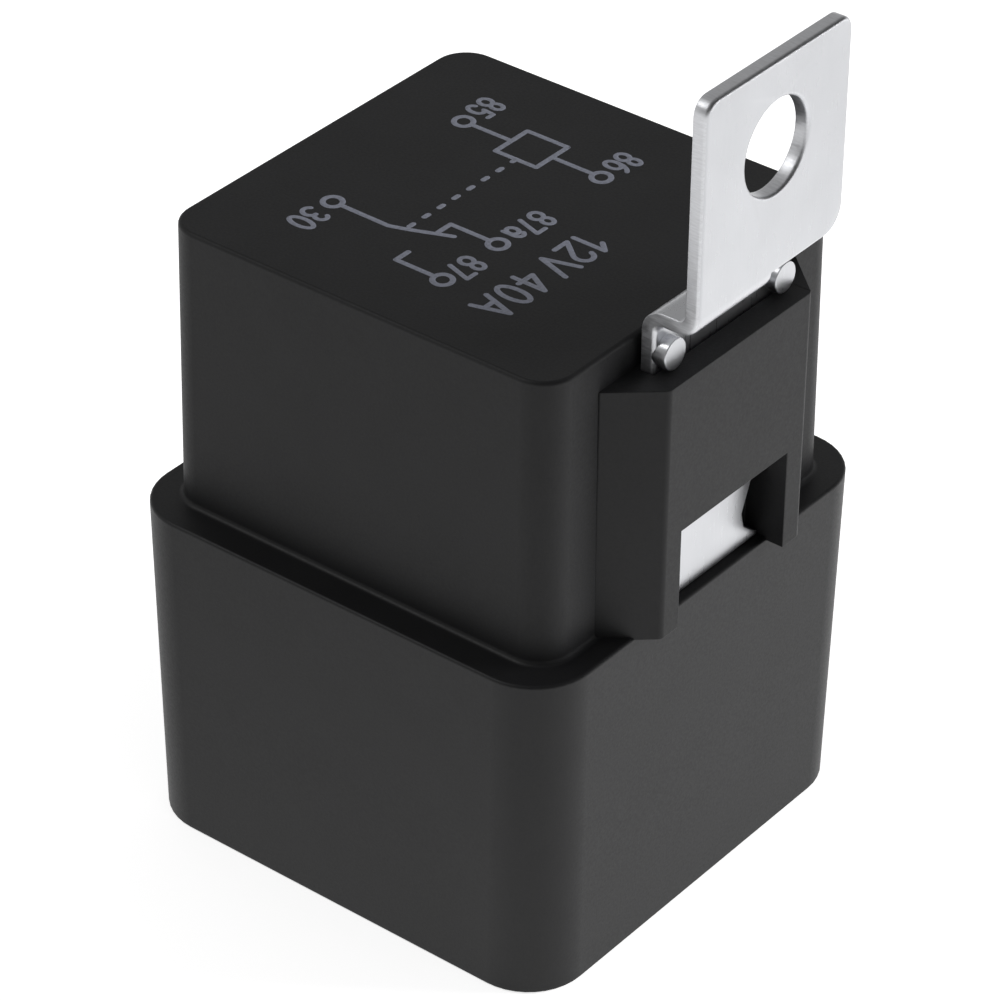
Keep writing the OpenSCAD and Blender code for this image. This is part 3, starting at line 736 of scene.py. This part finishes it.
class RELAY_OT_bracket(bpy.types.Operator):
    """Presses and bends the fixing bracket"""
    bl_idname = "relay.bracket"
    bl_label = "Bracket"

    def execute(self, context):
        b = context.scene.relay_bracket
        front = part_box("bracket")[0].x + b.sheet
        mesh, place = bracket_blank(b)
        sheet = new_object("sheet", mesh)
        mark_sheared(sheet, 2)
        even_normals(sheet, 50.0)
        fold_up(sheet, place)
        mesh = bmesh.new()
        pip_z, half_spacing = 38.95 * MM, 5 * MM
        for side in (-half_spacing, half_spacing):
            pip(mesh, front, TONGUE_MIDDLE + side, pip_z, b.pip / 2, b.pip_height)
        pips = new_object("pips", mesh)
        even_normals(pips, 50.0)
        bracket = join("fixing_bracket", [sheet, pips])
        dress(bracket, [plated_steel("nickel_plated_sheet", b.plating),
                        sheared_steel("nickel_plated_shear", b.torn)],
              "relay", "plated_steel", "bracket")
        return {"FINISHED"}


# ---------- blades ----------


def blade_outline(width, tip_height, tip, top, extra=None):
    """A blade in its own plane: chamfered tip down, and what stands on it."""
    half = width / 2
    outline = [(-half, top), (-half, tip_height + tip), (-half + tip, tip_height),
               (half - tip, tip_height), (half, tip_height + tip), (half, top)]
    if extra:
        left, right, extra_top = extra
        outline += [(right, top), (right, extra_top), (left, extra_top), (left, top)]
    return outline


BLADES = {
    # node: direction of the blade's width, top of the blade, tongue (left, right) or None
    "terminal_30": ("X", 17.2, (1.2, 2.8)),
    "terminal_85": ("X", 16.2, (1.775, 3.075)),
    "terminal_86": ("X", 16.2, (1.775, 3.075)),
    "terminal_87": ("Y", 17.2, None),
    "terminal_87a": ("Y", 15.4, None),
}


class RELAY_OT_blades(bpy.types.Operator):
    """Cuts the five blades, with coined edges"""
    bl_idname = "relay.blades"
    bl_label = "Blades"

    def execute(self, context):
        s = context.scene.relay_blades
        tin = drawn_metal("tinned_brass_strip", s.tin, 0.34)
        for node, (direction, top, tongue) in BLADES.items():
            low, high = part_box(node)
            size = high - low
            across, thickness = (size.x, size.y) if direction == "X" else (size.y, size.x)
            extra = tongue and (tongue[0] * MM, tongue[1] * MM, high.z)
            mesh = plate([blade_outline(across, low.z, s.tip, top * MM, extra)], thickness, s.edge)
            # the plate's own axes (across, up, out) go to the blade's place
            middle = (low + high) / 2
            turned = ((1, 0, 0), (0, 0, -1)) if direction == "X" else ((0, 0, 1), (1, 0, 0))
            place = Matrix(((*turned[0], middle.x), (*turned[1], middle.y),
                            (0, 1, 0, 0), (0, 0, 0, 1)))
            bmesh.ops.transform(mesh, matrix=place, verts=mesh.verts)
            blade = new_object("blade_" + node.split("_")[1], mesh)
            even_normals(blade)
            dress(blade, [tin], "relay", "tinned_brass", node)
        return {"FINISHED"}


# ---------- marking ----------


def stroke(mesh, points, width, base, film, slices=6, spokes=12):
    """A printed line through points on the roof: a low ridge with rounded ends and joints."""
    ridge = oval(0, 0, width / 2, film, 0, 180, slices)
    for (x0, y0), (x1, y1) in zip(points, points[1:]):
        side = Vector((y0 - y1, x1 - x0)).normalized()
        rows = [[mesh.verts.new((x + side.x * out, y + side.y * out, base + up))
                 for out, up in ridge] for x, y in ((x0, y0), (x1, y1))]
        for i in range(slices):
            mesh.faces.new((rows[0][i], rows[1][i], rows[1][i + 1], rows[0][i + 1]))
    for x, y in points:
        dome = [[(*spot, base + up) for spot in arc((x, y), out, 0, 360, spokes)[:-1]]
                for out, up in ridge[:slices // 2]]
        rim = skin(mesh, dome)[-1]
        crown = mesh.verts.new((x, y, base + film))
        for here, after in zip(rim, rim[1:] + rim[:1]):
            mesh.faces.new((here, after, crown))


# Strokes of each character in a box one unit wide and high, and its width against its height
CHARACTERS = {
    "0": (0.42, [oval(0.5, 0.5, 0.5, 0.5)]),
    "1": (0.28, [[(0.0, 0.72), (0.85, 1.0), (0.85, 0.0)]]),
    "2": (0.46, [oval(0.5, 0.72, 0.48, 0.28, 165, -35, 12) + [(0.0, 0.0), (1.0, 0.0)]]),
    "3": (0.42, [oval(0.46, 0.76, 0.44, 0.24, 150, -90, 12)
                 + oval(0.46, 0.27, 0.52, 0.27, 90, -150, 12)]),
    "4": (0.5, [[(0.72, 0.0), (0.72, 1.0), (0.0, 0.3), (1.0, 0.3)]]),
    "5": (0.42, [[(0.92, 1.0), (0.2, 1.0), (0.1, 0.55)]
                 + oval(0.48, 0.33, 0.5, 0.33, 135, -150, 14)]),
    "6": (0.44, [oval(0.5, 0.32, 0.5, 0.32), oval(0.95, 0.34, 0.95, 0.66, 180, 108, 8)]),
    "7": (0.42, [[(0.0, 1.0), (1.0, 1.0), (0.3, 0.0)]]),
    "8": (0.44, [oval(0.5, 0.76, 0.42, 0.24), oval(0.5, 0.26, 0.5, 0.26)]),
    "a": (0.4, [oval(0.45, 0.24, 0.45, 0.24),
                oval(0.5, 0.46, 0.48, 0.26, 150, 0, 8) + [(0.98, 0.0)]]),
    "V": (0.56, [[(0.0, 1.0), (0.5, 0.0), (1.0, 1.0)]]),
    "A": (0.56, [[(0.0, 0.0), (0.5, 1.0), (1.0, 0.0)], [(0.17, 0.34), (0.83, 0.34)]]),
    " ": (0.0, []),
}
# gap between characters, against their height
LETTER_GAP = 0.2

# Words on the roof: foot along X, left and right end along Y, and height, in millimetres
NUMBERS = {
    "86": (1.2, 9.07, 7.02, 1.95),
    "85": (-8.65, 9.07, 7.02, 1.95),
    "87a": (1.42, 0.95, -2.15, 1.9),
    "87": (1.42, -5.15, -7.25, 1.9),
    "30": (-8.53, -6.6, -8.8, 1.95),
}
RATING = {"12V 40A": (4.8, 0.65, -9.2, 2.5)}

# The circuit on the roof, in millimetres: middle and half width of the coil, Y of the ends of
# the coil, the make contact, the break contact and the arm, and X of the two rows of ends
COIL_X, COIL_HALF = -2.73, 1.45
COIL_Y, MAKE_Y, BREAK_Y, ARM_Y = 6.03, -8.0, -3.23, -5.49
NEAR_X, FAR_X, END_RADIUS = 2.2, -7.65, 0.56
DASH_X, DASH_FIRST, DASH_LAST, DASH_GAPS, DASH = -2.7, 4.4, -4.68, 7, 0.34


def circuit():
    """The symbol's lines and the circles at its ends, in millimetres."""
    ends = ((NEAR_X, COIL_Y), (NEAR_X, BREAK_Y), (NEAR_X, MAKE_Y), (FAR_X, COIL_Y), (FAR_X, ARM_Y))
    lines = [arc(end, END_RADIUS, 0, 360, 24) for end in ends]
    near, far = NEAR_X - END_RADIUS, FAR_X + END_RADIUS
    coil = [(COIL_X + x * COIL_HALF, COIL_Y + y * COIL_HALF)
            for x, y in ((1, 1), (1, -1), (-1, -1), (-1, 1), (1, 1))]
    lines += [
        coil,
        [(near, COIL_Y), (COIL_X + COIL_HALF, COIL_Y)],
        [(COIL_X - COIL_HALF, COIL_Y), (far, COIL_Y)],
        # changeover arm, break contact and make contact
        [(far, ARM_Y), (-3.65, -5.52), (-2.55, -5.14), (-0.15, -4.13)],
        [(near, BREAK_Y), (-1.1, BREAK_Y), (-1.1, -4.35)],
        [(near, MAKE_Y), (-1.05, MAKE_Y), (-1.05, -6.95)],
    ]
    # dashes that join the coil to the arm
    for i in range(DASH_GAPS + 1):
        y = DASH_FIRST + (DASH_LAST - DASH_FIRST) * i / DASH_GAPS
        lines.append([(DASH_X, y + DASH / 2), (DASH_X, y - DASH / 2)])
    return lines


def lettering(mesh, word, foot, left, right, height, width, base, film):
    """Writes a word on the roof. It reads towards -Y, and its characters stand up towards +X."""
    widths = [CHARACTERS[c][0] for c in word]
    natural = sum(widths) + LETTER_GAP * (len(word) - 1)
    scale = (left - right - width) / natural
    place = left - width / 2
    for character in word:
        share, strokes = CHARACTERS[character]
        for points in strokes:
            stroke(mesh, [(foot + width / 2 + v * (height - width), place - u * share * scale)
                          for u, v in points], width, base, film)
        place -= (share + LETTER_GAP) * scale


class RELAY_OT_marking(bpy.types.Operator):
    """Prints the circuit symbol, the terminal numbers and the rating on the roof"""
    bl_idname = "relay.marking"
    bl_label = "Marking"

    def execute(self, context):
        s = context.scene.relay_marking
        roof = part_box("cover")[1].z
        ink = printed_ink("pad_printed_ink", s.ink)
        mesh = bmesh.new()
        for line in circuit():
            stroke(mesh, in_metres(line), s.line, roof, s.film)
        dress(new_object("marking_symbol", mesh), [ink], "relay", "black_pbt")
        mesh = bmesh.new()
        for words, width in ((NUMBERS, s.letter_line), (RATING, s.rating_line)):
            for word, sizes in words.items():
                lettering(mesh, word, *(size * MM for size in sizes), width, roof, s.film)
        dress(new_object("marking_numbers", mesh), [ink], "relay", "black_pbt")
        return {"FINISHED"}


# ---------- inside ----------


class RELAY_OT_inside(bpy.types.Operator):
    """Gives the base, the resin, the coil, the iron and the contacts their finishes"""
    bl_idname = "relay.inside"
    bl_label = "Inside"

    def execute(self, context):
        s = context.scene.relay_inner
        cover = context.scene.relay_cover
        finishes = {
            moulded_pbt("pbt_satin", cover.plastic, 0.4, 0.25): ["base"],
            cast_resin("cast_epoxy", linear("#131315")): ["epoxy_seal"],
            moulded_pbt("natural_nylon", s.nylon, 0.38, 0.3): ["bobbin"],
            wound_wire("enamelled_winding", s.enamel): [
                "coil_winding", "coil_lead_85", "coil_lead_86"],
            thin_film("polyester_tape", s.tape): ["coil_tape"],
            drawn_metal("nickel_plated_iron", s.iron, 0.42): ["yoke", "core", "armature"],
            drawn_metal("bare_copper_strip", s.copper, 0.32): [
                "make_strip", "break_strip", "contact_leaf"],
            drawn_metal("plaited_copper", s.copper, 0.45, 0.35, 0.6): ["flexible_braid"],
            drawn_metal("silver_contact", s.silver, 0.22): [
                "make_contact", "break_contact", "moving_contact"],
            drawn_metal("brass_rivet", linear("#c2a15c"), 0.3): ["leaf_rivets"],
            drawn_metal("tinned_pin_wire", linear("#bdb9b0"), 0.4): ["coil_pin_85", "coil_pin_86"],
            drawn_metal("spring_wire", linear("#9c9ca0"), 0.3): ["return_spring"],
        }
        for material, nodes in finishes.items():
            for name in nodes:
                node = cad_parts[name]
                smooth(node.data)
                node.data.materials.clear()
                node.data.materials.append(material)
        return {"FINISHED"}


# ---------- stage ----------


# Share of the floor's own light that the camera and the mirrors see on top of what falls on it
FLOOR_LIFT = 0.7
# In mirrors the floor glows in a painted pool of light, brightest round a point beside the relay,
# and duller further off
POOL_MIDDLE, POOL_INNER, POOL_OUTER, POOL_DULL = (20 * MM, 15 * MM, 0.0), 38 * MM, 80 * MM, 0.6
# In mirrors the room's upper part gets darker between these two parts of a direction along X,
# down to this brightness
ROOM_LEFT, ROOM_RIGHT, ROOM_DARK = -0.3, 0.4, 0.06
# and the white of its horizon ends at this part of a direction along Z
ROOM_RISE = 0.2
# Places and widths of the two lamps, and the point they are turned to
KEY_PLACE, KEY_WIDTH = (0.52, 0.56, 0.24), 0.4
FILL_PLACE, FILL_WIDTH = (-0.42, -0.38, 0.72), 0.3
LAMPS_AIM = (0.0, 0.0, 0.02)


def pale_floor(name, base):
    """Painted board: matt white. Camera and mirrors see it white, with the shadow kept; what
    mirrors see is a painted pool of light, brightest beside the relay and duller further off.
    """
    material, place = new_material(name)
    speck = add_node(material, "ShaderNodeTexNoise",
                     inputs={"Scale": scale_of(12.0), "Detail": 2.0}, links={"Vector": place})
    relief = add_node(material, "ShaderNodeBump", inputs={"Strength": 0.05, "Distance": 0.1 * MM},
                      links={"Height": speck.outputs["Fac"]})
    rays = add_node(material, "ShaderNodeLightPath").outputs
    mirror = add_node(material, "ShaderNodeMath", settings={"operation": "MAXIMUM"},
                      links={0: rays["Is Glossy Ray"], 1: rays["Is Transmission Ray"]})
    # painted pool of light: the glow that mirrors see falls off with distance from POOL_MIDDLE
    spread = add_node(material, "ShaderNodeVectorMath", settings={"operation": "DISTANCE"},
                      inputs={1: POOL_MIDDLE}, links={0: place})
    pool = add_node(material, "ShaderNodeMapRange",
                    inputs={"From Min": POOL_INNER, "From Max": POOL_OUTER,
                            "To Min": 1.0, "To Max": POOL_DULL},
                    links={"Value": spread.outputs["Value"]})
    mirrored = add_node(material, "ShaderNodeMath", settings={"operation": "MULTIPLY"},
                        links={0: mirror.outputs[0], 1: pool.outputs["Result"]})
    seen = add_node(material, "ShaderNodeMath", settings={"operation": "MAXIMUM"},
                    links={0: rays["Is Camera Ray"], 1: mirrored.outputs[0]})
    lift = add_node(material, "ShaderNodeMath", settings={"operation": "MULTIPLY"},
                    inputs={1: FLOOR_LIFT}, links={0: seen.outputs[0]})
    matt = add_node(material, "ShaderNodeBsdfDiffuse", inputs={"Color": base},
                    links={"Normal": relief.outputs["Normal"]})
    glow = add_node(material, "ShaderNodeEmission", links={"Strength": lift.outputs[0]})
    both = add_node(material, "ShaderNodeAddShader",
                    links={0: matt.outputs[0], 1: glow.outputs[0]})
    add_node(material, "ShaderNodeOutputMaterial", links={"Surface": both.outputs[0]})
    return material


def room(world, ambient, ceiling):
    """White to the camera; in mirrors white at the horizon and darker above it, most so
    at the right."""
    world.use_nodes = True
    world.node_tree.nodes.clear()
    rays = add_node(world, "ShaderNodeLightPath").outputs
    direction = add_node(world, "ShaderNodeTexCoord").outputs["Generated"]
    towards = add_node(world, "ShaderNodeSeparateXYZ", links={"Vector": direction}).outputs
    side = add_node(world, "ShaderNodeMapRange",
                    settings={"interpolation_type": "SMOOTHSTEP"},
                    inputs={"From Min": ROOM_LEFT, "From Max": ROOM_RIGHT,
                            "To Min": ceiling, "To Max": ROOM_DARK},
                    links={"Value": towards["X"]})
    fade = add_node(world, "ShaderNodeMapRange",
                    settings={"interpolation_type": "SMOOTHSTEP"},
                    inputs={"From Min": 0.0, "From Max": ROOM_RISE, "To Min": 1.0},
                    links={"Value": towards["Z"], "To Max": side.outputs["Result"]})
    mirror = add_node(world, "ShaderNodeMath", settings={"operation": "MAXIMUM"},
                      links={0: rays["Is Glossy Ray"], 1: rays["Is Transmission Ray"]})
    lit = add_node(world, "ShaderNodeMix", settings={"data_type": "FLOAT"},
                   inputs={"A": ambient},
                   links={"Factor": mirror.outputs[0], "B": fade.outputs["Result"]})
    strength = add_node(world, "ShaderNodeMix", settings={"data_type": "FLOAT"},
                        inputs={"B": 1.0},
                        links={"Factor": rays["Is Camera Ray"], "A": lit.outputs["Result"]})
    background = add_node(world, "ShaderNodeBackground", inputs={"Color": (1, 1, 1, 1)},
                          links={"Strength": strength.outputs["Result"]})
    add_node(world, "ShaderNodeOutputWorld", links={"Surface": background.outputs[0]})


def softbox(name, place, width, power):
    """A square lamp turned to the relay."""
    lamp = bpy.data.lights.new(name, "AREA")
    lamp.shape = "SQUARE"
    lamp.size = width
    lamp.energy = power
    box = bpy.data.objects.new(name, lamp)
    box.location = place
    box.rotation_euler = (Vector(LAMPS_AIM) - Vector(place)).to_track_quat("-Z", "Y").to_euler()
    bpy.context.scene.collection.objects.link(box)
    return box


class RELAY_OT_stage(bpy.types.Operator):
    """Sets the floor, the lamps, the room and the camera"""
    bl_idname = "relay.stage"
    bl_label = "Stage"

    def execute(self, context):
        s = context.scene.relay_stage
        scene = context.scene
        half = s.floor_width / 2
        mesh = bmesh.new()
        mesh.faces.new([mesh.verts.new((x * half, y * half, CAD_BOX[0][2]))
                        for x, y in ((-1, -1), (1, -1), (1, 1), (-1, 1))])
        floor = link_object("floor", mesh)
        floor.data.materials.append(pale_floor("painted_board", s.floor))
        floor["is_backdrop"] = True

        key = softbox("key_softbox", KEY_PLACE, KEY_WIDTH, s.key)
        # a lamp this near would burn a patch into the bright sheet
        key.visible_glossy = False
        softbox("fill_softbox", FILL_PLACE, FILL_WIDTH, s.fill)
        world = bpy.data.worlds.new("white_room")
        scene.world = world
        room(world, s.ambient, s.ceiling)

        back = Vector((math.sin(s.azimuth) * math.cos(s.elevation),
                       -math.cos(s.azimuth) * math.cos(s.elevation), math.sin(s.elevation)))
        right = Vector((math.cos(s.azimuth), math.sin(s.azimuth), 0.0))
        up = back.cross(right)
        right_rolled = right * math.cos(s.roll) + up * math.sin(s.roll)
        up_rolled = up * math.cos(s.roll) - right * math.sin(s.roll)
        lens = bpy.data.cameras.new("camera")
        lens.sensor_width = 36.0
        lens.lens = s.lens
        lens.clip_start = 0.01
        camera = bpy.data.objects.new("camera", lens)
        camera.matrix_world = (Matrix.Translation(Vector(s.target) + back * s.distance)
                               @ Matrix((right_rolled, up_rolled, back)).transposed().to_4x4())
        scene.collection.objects.link(camera)
        scene.camera = camera
        scene.view_settings.view_transform = "Standard"
        return {"FINISHED"}


# ---------- panel and registration ----------

OPERATORS = (RELAY_OT_cover, RELAY_OT_bracket, RELAY_OT_blades, RELAY_OT_marking,
             RELAY_OT_inside, RELAY_OT_stage)


class RELAY_PT_panel(bpy.types.Panel):
    """Lists the pieces and their settings"""
    bl_idname = "RELAY_PT_panel"
    bl_label = "Automotive relay"
    bl_space_type = "VIEW_3D"
    bl_region_type = "UI"
    bl_category = "Relay"

    def draw(self, context):
        for operator in OPERATORS:
            self.layout.operator(operator.bl_idname)
        for name, group in SETTINGS.items():
            box = self.layout.box()
            box.label(text=name.split("_")[1].capitalize())
            for key in group.__annotations__:
                box.prop(getattr(context.scene, name), key)


CLASSES = (*SETTINGS.values(), *OPERATORS, RELAY_PT_panel)


def register():
    for cls in CLASSES:
        bpy.utils.register_class(cls)
    for name, group in SETTINGS.items():
        setattr(bpy.types.Scene, name, bpy.props.PointerProperty(type=group))


def unregister():
    for name in SETTINGS:
        delattr(bpy.types.Scene, name)
    for cls in reversed(CLASSES):
        bpy.utils.unregister_class(cls)


def main():
    register()
    bpy.ops.relay.stage()
    bpy.ops.relay.cover()
    bpy.ops.relay.bracket()
    bpy.ops.relay.blades()
    bpy.ops.relay.marking()
    bpy.ops.relay.inside()
    boxes = {"cad": CAD_BOX, "visual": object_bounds()}
    {name: [list(corner) for corner in box] for name, box in boxes.items()}


if __name__ == "__main__":
    main()
